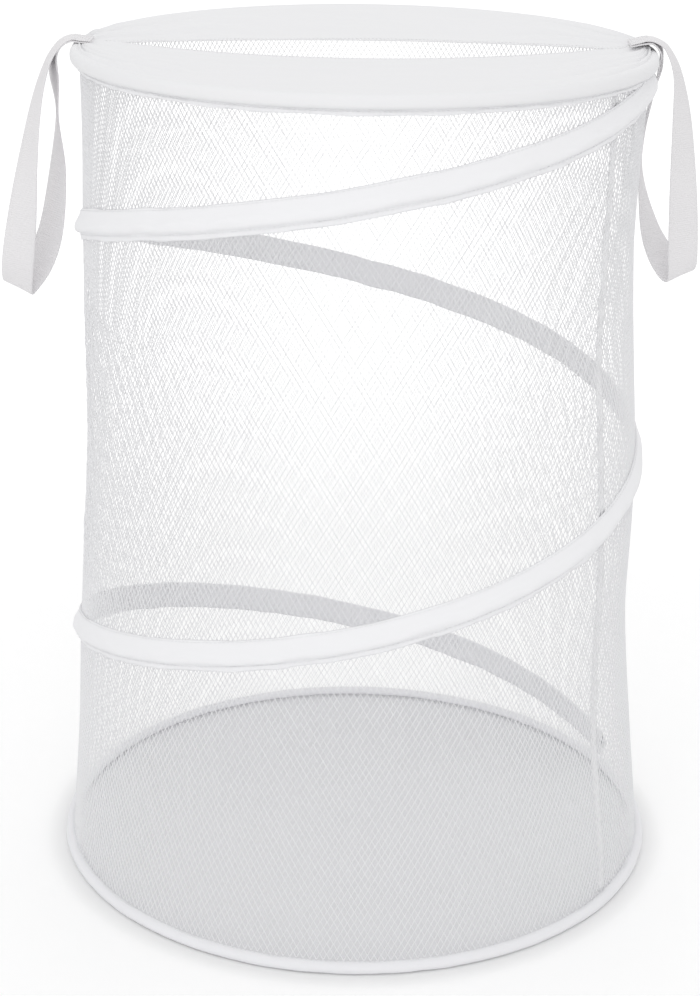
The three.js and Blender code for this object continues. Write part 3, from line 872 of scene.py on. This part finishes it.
def tension_folds(sizes, turn, height):
    """Shallow slanting folds where the springs pull the net askew."""
    around = turn * FULL_TURN * sizes.rim_radius
    faded = 0.06
    free = np.minimum(1, span_waist(sizes, turn, height) / (0.25 * sizes.waist))
    total = np.zeros_like(height)
    for middle, reach, low, high, slant, pitch, depth in FOLDS:
        here = np.exp(-(((turn - middle) / reach) ** 2))
        here = here * ease(height, low, low + faded) * (1 - ease(height, high - faded, high))
        place = np.stack([around, height], axis=-1)
        bend = 0.4 * wobble(place, 0.06, 0.2, int(1000 * middle))
        across = (around * math.sin(slant) - height * math.cos(slant)) / pitch
        total += depth * here * np.sin(FULL_TURN * (across + bend))
    return free * total


class HAMPER_OT_net(bpy.types.Operator):
    """Knits the net wall from zigzag threads that meet at their knots"""

    bl_idname = "hamper.net"
    bl_label = "Net wall"
    panels = 4

    def execute(self, context):
        sizes = context.scene.hamper_sizes
        bottom = 2 * sizes.piping_radius - 0.0003
        share = np.linspace(0, 1, 2 * sizes.net_rows + 1)
        closer = 0.1
        share = share + closer * share * (1 - share)
        levels = bottom + (sizes.rim_height - bottom) * share
        swing = np.arange(len(levels)) % 2 / 2
        knot = 0.25 * sizes.thread_width / (FULL_TURN * MEAN_NET_RADIUS)
        tree = net_thread_tree()
        inputs = {"Thread Width": sizes.thread_width, "Thread Depth": sizes.thread_depth}
        per_panel = sizes.net_columns // self.panels
        for panel in range(self.panels):
            lines = []
            for column in range(panel * per_panel, (panel + 1) * per_panel):
                for side in (1, -1):
                    place = (column + side * swing) / sizes.net_columns
                    turn = NET_SEAM + place + side * knot * (1 - 4 * swing)
                    lines.append(net_surface(sizes, turn, levels))
            name = f"net_panel_{panel + 1}"
            piece = grown(name, lines_mesh(name, lines), tree, finish("net"), inputs)
            placed(piece, "base", "net", "mesh_wall")
            folding(piece, sizes.rim_height)
        return {"FINISHED"}


class HAMPER_OT_net_seam(bpy.types.Operator):
    """Adds the bound seam that closes the net"""

    bl_idname = "hamper.net_seam"
    bl_label = "Net seam"

    def execute(self, context):
        sizes = context.scene.hamper_sizes
        heights = np.linspace(2 * sizes.piping_radius, sizes.rim_height, 220)
        middle = net_surface(sizes, np.full_like(heights, NET_SEAM), heights)
        angle = -FULL_TURN * NET_SEAM
        outwards = np.array([math.cos(angle), math.sin(angle), 0])
        sideways = np.array([-outwards[1], outwards[0], 0])
        section = smooth_line(NET_SEAM_SECTION, 13, 2) * MM
        sway = 0.0004 * wobble(heights[:, None], 0.03, 0.15, 8)
        rise = section[None, :, 1] + sizes.clearance
        reach = section[None, :, 0] + sway[:, None]
        face = middle[:, None] - outwards * rise[..., None] + sideways * reach[..., None]
        binding, behind, beside = 0.0004, 0.0014, 0.0024
        points = closed_outlines(face, face + outwards * binding)
        piece = cloth_piece("net_side_seam", points, "base", "net", "mesh_side_seam")
        folding(piece, sizes.rim_height)
        rows = [
            middle - outwards * behind + sideways * (offset + sway[:, None])
            for offset in (-beside, beside)
        ]
        folding(stitched("net_seam_stitching", sizes, rows, "base"), sizes.rim_height)
        return {"FINISHED"}


# Casings


def tape_face(sizes, outline, turns, heights, seed, roof=None, swell=1):
    """The outside of a folded tape, drawn about the wire and laid on the net's cone.

    Above the roof, where it goes in behind another flange, the tape is pressed flat."""
    flutter = 0.00035
    line = smooth_line(outline, 44, 2) * MM
    out, up = line[None, :, 0], line[None, :, 1]
    along = turns[:, None] * FULL_TURN * sizes.rim_radius
    place = np.stack(np.broadcast_arrays(along, up * 2.5), axis=-1)
    loose = ease(-up, 0.004, 0.0095)
    bulge = ease(out, 0.0022, 0.005) * (1 - loose)
    move = flutter * (loose * 1.2 * wobble(place, 0.008, 0.03, seed))
    move = move + flutter * 0.9 * bulge * wobble(place, 0.02, 0.09, seed + 1)
    sag = flutter * 0.6 * wobble(along[..., None], 0.03, 0.12, seed + 2)
    level = heights[:, None] + up + sag * np.ones_like(up)
    out = np.maximum(out + move, out * 0.4) * swell
    if roof is not None:
        out = out * (1 - 0.88 * ease(level, roof - 0.002, roof + 0.002))
        level = np.minimum(level, roof + 0.1 * (level - roof))
    radius = casing_radius(sizes, level) - sizes.casing_depth + out
    return on_ring(turns[:, None], radius, level)


def tape_points(sizes, outline, turns, heights, seed, is_ring, roof=None, swell=1):
    face = tape_face(sizes, outline, turns, heights, seed, roof=roof, swell=swell)
    normals = grid_normals(face, is_ring)
    bulging = smooth_line(outline, 44, 2)[:, 0] > 4
    away = np.sign(np.einsum("ijk,ijk->ij", normals, face * [1, 1, 0])[:, bulging].mean())
    return closed_outlines(face, face - away * sizes.tape_thickness * normals)


def casing_line(sizes, turns, heights, out, up):
    """A line of points at a place of a casing's outline."""
    level = heights + up
    return on_ring(turns, casing_radius(sizes, level) - sizes.casing_depth + out, level)


class HAMPER_OT_spiral(bpy.types.Operator):
    """Winds the spiral wire in its tape from the rim down to the base"""

    bl_idname = "hamper.spiral"
    bl_label = "Spiral"

    def execute(self, context):
        sizes = context.scene.hamper_sizes
        turns = np.linspace(SPIRAL_TUCKED, SPIRAL_LAST, 740)
        over = spiral_height(sizes, turns) - TUCKED_HEIGHT
        rounding, fuller, flange = 0.004, 0.2, 0.0085
        heights = TUCKED_HEIGHT + 0.5 * (over - np.sqrt(over**2 + rounding**2))
        swell = 1 + fuller * (1 - ease(turns[:, None], 0.0, 0.08))
        roof = sizes.rim_height - flange
        attached, folded = 0.615, 0.057
        points = tape_points(sizes, SPIRAL_TAPE, turns, heights, 21, False, roof, swell)
        tape = cloth_piece("spiral_tape", points, "base", "tape", "spiral_casing")
        folding(tape, attached, folded)
        seat = 0.003
        shortened = 0.0021
        inset = shortened / (FULL_TURN * sizes.rim_radius)
        inner = np.linspace(SPIRAL_FIRST + inset, SPIRAL_LAST - inset, 700)
        route = casing_line(sizes, inner, spiral_height(sizes, inner), seat, 0)
        inputs = {"Radius": sizes.wire_radius, "Sides": 8}
        tree, steel = wire_tree(), finish("steel_wire")
        wire = grown("spiral_spring_wire", lines_mesh("wire", [route]), tree, steel, inputs)
        folding(placed(wire, "base", "steel_wire", "spiral_wire"), attached, folded)
        cap_wall = 0.0006
        inputs = {"Radius": sizes.wire_radius + cap_wall, "Sides": 12}
        caps = [("upper", route[:5], "top"), ("lower", route[-5:], "base")]
        for place, line, body in caps:
            name = f"spiral_{place}_cap"
            cap = grown(name, lines_mesh(name, [line]), tree, steel, inputs)
            placed(cap, body, "steel_wire", f"spiral_{place}_end_cap")
            if body == "base":
                folding(cap, attached, folded)
            else:
                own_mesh(cap)
        rows = []
        seams = ((0.0019, -0.0068), (0.00165, 0.0115))
        for out, up in seams:
            clear = heights + up < roof - 0.001
            rows.append(casing_line(sizes, turns[clear], heights[clear], out, up))
        folding(stitched("spiral_stitching", sizes, rows, "base"), attached, folded)
        return {"FINISHED"}


class HAMPER_OT_top_hoop(bpy.types.Operator):
    """Folds the tape over the top hoop's wire"""

    bl_idname = "hamper.top_hoop"
    bl_label = "Top hoop casing"

    def execute(self, context):
        sizes = context.scene.hamper_sizes
        turns = np.linspace(0, 1, 480, endpoint=False)
        heights = np.full_like(turns, sizes.rim_height)
        points = tape_points(sizes, HOOP_TAPE, turns, heights, 31, True)
        cloth_piece("top_hoop_tape", points, "top", "tape", "top_hoop_casing", is_ring=True)
        turns = np.linspace(0, 1, 481)
        out, up = 0.0019, -0.0078
        sewing = casing_line(sizes, turns, np.full_like(turns, sizes.rim_height), out, up)
        stitched("top_hoop_stitching", sizes, [sewing], "top")
        return {"FINISHED"}


# Top flaps

# Streaks that run towards a flap's tips, as (how many over the flap, phase, share of the height)
STREAKS = [(2.3, 0.1, 1.0), (4.1, 0.55, 0.7), (7.3, 0.3, 0.45), (11.7, 0.8, 0.25)]
# Where a handle presses a flap down: middle, reach outwards and reach sideways
WEBBING_SEAT = (0.206, 0.012, 0.016)


def slit_edge(sizes, along):
    lens = sizes.slit_width * np.maximum(0, 1 - (along / sizes.slit_length) ** 2)
    return sizes.clearance / 2 + lens


def flap_face(sizes, side, seed):
    """Columns of points from the slit over the hoop to the seam. side is 1 for the front."""
    wrap = smooth_line(FLAP_WRAP, 16, 2) * MM
    top = sizes.rim_height + wrap[0, 1]
    crown = casing_radius(sizes, top) - sizes.casing_depth + wrap[0, 0]
    tip = math.asin(sizes.clearance / 2 / sizes.rim_radius) / FULL_TURN
    turns = np.linspace(tip, 0.5 - tip, 260) * side
    rim = on_ring(turns, crown, 0)
    along = (crown - 0.006) * rim[:, 0] / crown
    hem = np.stack([along, -side * slit_edge(sizes, along), np.zeros_like(along)], axis=1)
    near, far = np.linspace(0, 0.12, 12, endpoint=False), np.linspace(0.12, 1, 44)[:-1]
    share = np.concatenate([near, far])
    flat = hem[:, None] + (rim - hem)[:, None] * share[None, :, None]
    lens = np.maximum(0, 1 - (along / sizes.slit_length) ** 2)[:, None]
    sag = sizes.flap_sag * lens * (1 - share) ** 2
    ends = ease(np.abs(along), 0.07, 0.19)[:, None]
    inside = ease(share, 0.0, 0.12) * ease(1 - share, 0.0, 0.1)
    drift = 0.12 * wobble(along[:, None] * np.ones((1, 2)), 0.08, 0.3, seed)
    streaks = sum(
        size * np.sin(FULL_TURN * (rate * share + phase + drift[:, None] * rate / 3))
        for rate, phase, size in STREAKS
    )
    middle, outwards, sideways = WEBBING_SEAT
    off_seat = ((np.abs(flat[..., 0]) - middle) / outwards) ** 2 + (flat[..., 1] / sideways) ** 2
    pressed = np.exp(-off_seat)
    crease_depth, soft_depth, tug = 0.0011, 0.0006, 0.0035
    wrinkle = crease_depth * ends * inside * streaks * (1 - pressed)
    soft = soft_depth * inside * wobble(flat[..., :2] * [0.45, 1], 0.03, 0.12, seed + 1)
    tugged_up = tug * pressed * (flat[..., 0] > 0)
    bow = np.sin(math.pi * np.linspace(0, 1, len(turns)))[:, None]
    rise = sizes.back_rise * bow * (side < 0)
    flat[..., 2] = top - sag + wrinkle + soft * (1 - pressed) + tugged_up + rise * share
    down = casing_line(
        sizes, turns[:, None], sizes.rim_height, wrap[None, :, 0], wrap[None, :, 1]
    )
    down[..., 2] += rise * np.linspace(1, 0, len(wrap))
    return np.concatenate([flat, down], axis=1)


class HAMPER_OT_flaps(bpy.types.Operator):
    """Stretches the two flaps over the top hoop and sews their hems"""

    bl_idname = "hamper.flaps"
    bl_label = "Top flaps"

    def execute(self, context):
        sizes = context.scene.hamper_sizes
        for place, side in (("front", 1), ("back", -1)):
            face = flap_face(sizes, side, 40 + side)
            normals = grid_normals(face)
            up = np.sign(normals[130, 20, 2])
            points = closed_outlines(face, face - up * sizes.flap_thickness * normals)
            node = f"{place}_top_flap"
            piece = cloth_piece(f"{place}_flap", points, "top", "flap_fabric", node)
            edge = face[:, 0]
            way = face[:, 6] - edge
            way /= np.linalg.norm(way, axis=1, keepdims=True)
            inset, lift = 0.004, 0.0002
            line = edge + way * inset + np.array([0, 0, lift])
            line = line[np.abs(edge[:, 0]) < sizes.slit_length + 0.012]
            name, node = f"{place}_hem_row", f"{place}_hem_stitching"
            stitched(name, sizes, [line], "top", node, width=0.0005, pitch=0.003)
        return {"FINISHED"}

    @staticmethod
    def cut_area(sizes):
        """Half the mouth with its turn over the hoop, less half the slit."""
        crown_inset, turn_depth = 0.004, 0.016
        half_mouth = math.pi * (sizes.rim_radius - crown_inset) ** 2 / 2
        turned = math.pi * sizes.rim_radius * turn_depth
        return half_mouth + turned - sizes.slit_width * sizes.slit_length * 4 / 3


# Handles


def webbing_frames(knots, side, spacing):
    """Centres, ways along and ways across of a handle's webbing."""
    knots = np.array(knots, float)
    knots[:, :3] *= MM
    knots[:, 0] *= side
    count = int(round(line_length(knots[:, :3]) / spacing))
    line = smooth_line(knots, count)
    centre = line[:, :3]
    along = np.gradient(centre, axis=0)
    along /= np.linalg.norm(along, axis=1, keepdims=True)
    twist = np.radians(line[:, 3])
    across = np.stack([side * np.sin(twist), np.cos(twist), line[:, 4]], axis=1)
    across -= along * np.einsum("ij,ij->i", along, across)[:, None]
    across /= np.linalg.norm(across, axis=1, keepdims=True)
    return centre, along, across


def webbing_piece(name, sizes, frames):
    """Ribbed webbing through frames, thinner along its two edges."""
    centre, along, across = frames
    facing = np.cross(along, across)
    half = sizes.webbing_width / 2
    depth = sizes.webbing_depth / 2
    edge = 0.0012
    upper = [(x, depth) for x in np.linspace(-half + edge, half - edge, 6)]
    outline = [(-half, 0.2 * depth), *upper, (half, 0.2 * depth)]
    outline += [(x, -y) for x, y in reversed(outline)]
    outline = np.array(outline)
    points = (
        centre[:, None]
        + across[:, None] * outline[None, :, :1]
        + facing[:, None] * outline[None, :, 1:]
    )
    mesh = lofted(name, points)
    reach = np.repeat(reaches(centre), len(outline))
    layer = mesh.attributes.new("along", "FLOAT", "POINT")
    layer.data.foreach_set("value", reach.astype(np.float32))
    inputs = {"Rib Pitch": sizes.rib_pitch, "Rib Height": sizes.rib_height}
    return grown(name, mesh, rib_tree(), finish("webbing"), inputs)


class HAMPER_OT_handles(bpy.types.Operator):
    """Sews the two webbing handles on the rim"""

    bl_idname = "hamper.handles"
    bl_label = "Handles"

    def execute(self, context):
        sizes = context.scene.hamper_sizes
        for place, side, knots in (("left", -1, LEFT_WEBBING), ("right", 1, RIGHT_WEBBING)):
            body = f"{place}_handle"
            frames = webbing_frames(knots, side, sizes.rib_pitch / 4)
            centre = frames[0]
            hanging = np.flatnonzero(centre[:, 2] < WEBBING_JUNCTION)
            first, last = hanging[0], hanging[-1]
            ends = {
                "upper": slice(0, first + 4),
                "lower": slice(last - 4, len(centre)),
            }
            for layer, part in ends.items():
                name = f"{place}_{layer}_webbing_end"
                piece = webbing_piece(name, sizes, [values[part] for values in frames])
                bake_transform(piece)
                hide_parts(f"{place}_handle_tab")
            part = slice(first, last + 1)
            loop = webbing_piece(f"{place}_loop", sizes, [values[part] for values in frames])
            placed(loop, body, "webbing", f"{place}_handle_strap")
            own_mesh(loop)
            rows = self.box_lines([values[ends["upper"]] for values in frames])
            name, node = f"{place}_box_stitch", f"{place}_handle_stitching"
            stitched(name, sizes, rows, "top", node, width=0.0007, pitch=0.0027)
        return {"FINISHED"}

    @staticmethod
    def box_lines(frames):
        """A sewn box with its two diagonals on the webbing's end."""
        centre, along, across = frames
        upwards = np.cross(along, across)
        upwards *= np.sign(upwards[:, 2:])
        reach = reaches(centre)
        near, far, half, lift = 0.002, 0.013, 0.010, 0.0008

        def spot(distance, sideways):
            i = np.searchsorted(reach, distance)
            return centre[i] + sideways * across[i] + lift * upwards[i]

        corners = [(near, -half), (far, -half), (far, half), (near, half)]
        pairs = [(0, 1), (1, 2), (2, 3), (3, 0), (0, 2), (1, 3)]
        return [
            [spot(*place) for place in np.linspace(corners[a], corners[b], 16)] for a, b in pairs
        ]


# Base


class HAMPER_OT_base(bpy.types.Operator):
    """Adds the piping round the base and the fabric floor"""

    bl_idname = "hamper.base"
    bl_label = "Base"

    def execute(self, context):
        sizes = context.scene.hamper_sizes
        radius = sizes.piping_radius
        centre = sizes.base_radius - radius
        lift = radius * 0.925
        turns = np.linspace(0, 1, 420, endpoint=False)
        sides = 20
        angle = np.arange(sides) / sides * FULL_TURN
        along = turns[:, None] * FULL_TURN * centre
        place = np.stack(np.broadcast_arrays(along, 0.01 * angle[None]), axis=-1)
        swell = radius + 0.00012 * wobble(place, 0.012, 0.06, 61)
        level = np.maximum(lift + swell * np.sin(angle), 0.0)
        points = on_ring(turns[:, None], centre + swell * np.cos(angle), level)
        cloth_piece("base_piping", points, "base", "piping", "base_hoop_casing", is_ring=True)
        turns = np.linspace(0, 1, 421)
        inwards, sunk = 0.0012, 0.0001
        line = on_ring(turns, centre - inwards, np.full_like(turns, lift + radius - sunk))
        stitched("base_stitching", sizes, [line], "base")
        self.add_floor(sizes, centre)
        return {"FINISHED"}

    @staticmethod
    def add_floor(sizes, centre):
        """The floor, on a grid that is squeezed from a square into a disc.

        Its edge is sewn up against the piping's inner side."""
        sewn_up, gap, raised = 0.0022, 0.0002, 0.0006
        reach = centre - sizes.piping_radius - gap
        side = np.linspace(-1, 1, 97)
        a, b = np.meshgrid(side, side, indexing="ij")
        longest = np.maximum(np.abs(a), np.abs(b))
        with np.errstate(invalid="ignore", divide="ignore"):
            wide = np.abs(a) >= np.abs(b)
            angle = np.where(wide, math.pi / 4 * b / a, math.pi / 2 - math.pi / 4 * a / b)
        angle = np.where(longest == 0, 0, angle)
        radius = np.where(wide, a, b) * reach
        x, y = radius * np.cos(angle), radius * np.sin(angle)
        flat = np.stack([x, y], axis=-1)
        rim = ease(1 - longest, 0, 0.08)
        level = sizes.panel_thickness + raised * rim * (1 + 0.6 * wobble(flat, 0.05, 0.2, 71))
        level = level + sewn_up * (1 - ease(1 - longest, 0, 0.02))
        face = np.stack([x, y, level], axis=-1)
        back = np.stack([x, y, level - sizes.panel_thickness], axis=-1)
        points = closed_outlines(face, back)
        floor = cloth_piece("floor_sheet", points, "base", "floor_fabric", "base_panel")


class HAMPER_OT_hidden_steel(bpy.types.Operator):
    """Gives the wires and sleeves inside the casings their steel"""

    bl_idname = "hamper.hidden_steel"
    bl_label = "Hoop wires"

    def execute(self, context):
        for name in ("top_hoop_wire", "top_hoop_ferrule", "base_hoop_wire", "base_hoop_ferrule"):
            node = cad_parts[name]
            if not node.material_slots:
                raise RuntimeError(f"{name} has no material slot")
            for slot in node.material_slots:
                slot.material = finish("steel_wire")
        return {"FINISHED"}


class HAMPER_PT_panel(bpy.types.Panel):
    """Lists the hamper's pieces and sizes"""

    bl_idname = "HAMPER_PT_panel"
    bl_label = "Hamper"
    bl_space_type = "VIEW_3D"
    bl_region_type = "UI"
    bl_category = "Hamper"

    def draw(self, context):
        for operator in OPERATORS:
            self.layout.operator(operator.bl_idname)
        for group in (context.scene.hamper_sizes, context.scene.hamper_colours):
            box = self.layout.box()
            for name in group.__annotations__:
                box.prop(group, name)


OPERATORS = (
    HAMPER_OT_stage,
    HAMPER_OT_net,
    HAMPER_OT_net_seam,
    HAMPER_OT_spiral,
    HAMPER_OT_top_hoop,
    HAMPER_OT_flaps,
    HAMPER_OT_handles,
    HAMPER_OT_base,
    HAMPER_OT_hidden_steel,
)
CLASSES = (HamperSizes, HamperColours, *OPERATORS, HAMPER_PT_panel)


def register():
    for each in CLASSES:
        bpy.utils.register_class(each)
    bpy.types.Scene.hamper_sizes = PointerProperty(type=HamperSizes)
    bpy.types.Scene.hamper_colours = PointerProperty(type=HamperColours)


def unregister():
    del bpy.types.Scene.hamper_colours
    del bpy.types.Scene.hamper_sizes
    for each in reversed(CLASSES):
        bpy.utils.unregister_class(each)


def main():
    register()
    for operator in OPERATORS:
        group, name = operator.bl_idname.split(".")
        getattr(getattr(bpy.ops, group), name)()


if __name__ == "__main__":
    main()
